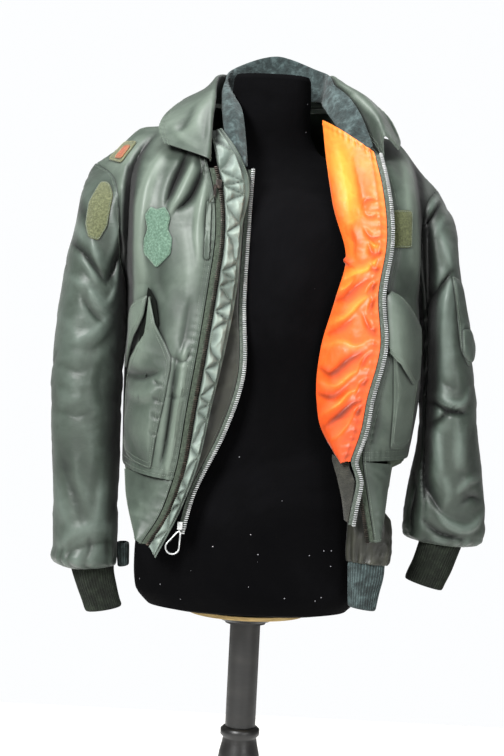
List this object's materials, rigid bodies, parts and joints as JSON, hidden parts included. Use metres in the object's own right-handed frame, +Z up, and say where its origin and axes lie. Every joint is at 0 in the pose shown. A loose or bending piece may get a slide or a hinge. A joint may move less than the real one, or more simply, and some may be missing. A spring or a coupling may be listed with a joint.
{
  "type": "flight jacket on dress form",
  "caption": "Nylon flight jacket with rib-knit cuffs and waist and an orange-faced liner, hung open on a limbless dress form with a turned pole stand.",
  "frame": {"origin": "on the floor, at the centre of the stand's round foot, which is the pole's axis", "axes": "+X towards the wearer's left, which is the viewer's right; +Y towards the wearer's back, so the open fronts face -Y; +Z up"},
  "size_m": [0.6609, 0.3217, 1.402],
  "materials": {
    "sage_nylon": "satin-faced woven nylon with a soft sheen",
    "sage_knit": "ribbed knit, matt",
    "olive_rib_knit": "ribbed knit, matt, a little pilled",
    "blue_grey_knit": "ribbed knit, matt",
    "taupe_knit": "ribbed knit, matt",
    "orange_satin": "smooth glossy lining satin",
    "olive_satin": "smooth woven nylon with a soft sheen",
    "dark_zip_tape": "woven zip tape, matt",
    "dark_zip_metal": "dark, worn at its edges",
    "silver_zip_metal": "bright, slightly worn",
    "olive_loop_pile": "loop pile, matt",
    "green_loop_pile": "loop pile, matt",
    "tan_loop_pile": "loop pile, matt",
    "red_brown_patch": "twill, matt",
    "black_jersey": "stretched jersey, matt",
    "black_painted_wood": "black paint, satin",
    "pale_board": "bare board"
  },
  "bodies": {
    "jacket_and_form": {"form_body": "black_jersey", "form_board": "pale_board", "pole_flange": "black_painted_wood", "pole": "black_painted_wood", "pole_lower": "black_painted_wood", "foot_disc": "black_painted_wood", "shell_front_right": "sage_nylon", "shell_front_left": "sage_nylon", "shell_back": "sage_nylon", "waist_tab_right": "sage_nylon", "waist_tab_left": "sage_nylon", "zip_right": "dark_zip_tape", "zip_left": "dark_zip_tape", "wind_flap": "sage_nylon", "sleeve_right_front": "sage_nylon", "sleeve_right_back": "sage_nylon", "sleeve_left_front": "sage_nylon", "sleeve_left_back": "sage_nylon", "cuff_right": "olive_rib_knit", "cuff_left": "olive_rib_knit", "waistband": "sage_knit", "collar": "sage_nylon", "liner_collar": "blue_grey_knit", "liner_front_left": "orange_satin", "liner_front_right": "olive_satin", "liner_zip_right": "silver_zip_metal", "liner_zip_left": "silver_zip_metal", "liner_waistband": "taupe_knit", "liner_sleeve_left": "olive_satin", "liner_cuff_left": "blue_grey_knit", "liner_cuff_right": "blue_grey_knit", "pocket_right": "sage_nylon", "pocket_flap_right": "sage_nylon", "chest_patch": "green_loop_pile", "pocket_left": "sage_nylon", "pocket_flap_left": "sage_nylon", "name_tape": "tan_loop_pile", "arm_patch": "olive_loop_pile", "sleeve_pocket": "sage_nylon", "sleeve_pocket_flap": "sage_nylon", "shoulder_patch_base": "olive_loop_pile", "shoulder_patch": "red_brown_patch", "pull_strap": "sage_nylon", "zip_slider": "dark_zip_metal", "zip_pull": "dark_zip_metal", "liner_slider": "silver_zip_metal"},
    "ring": {"ring_pull": "silver_zip_metal"}
  },
  "joints": [
    {"name": "ring_swing", "type": "hinge", "parent": "jacket_and_form", "child": "ring", "pos_m": [-0.0985, -0.1472, 0.6882], "axis": [-1, 0, 0], "range_deg": [0, 90]}
  ]
}
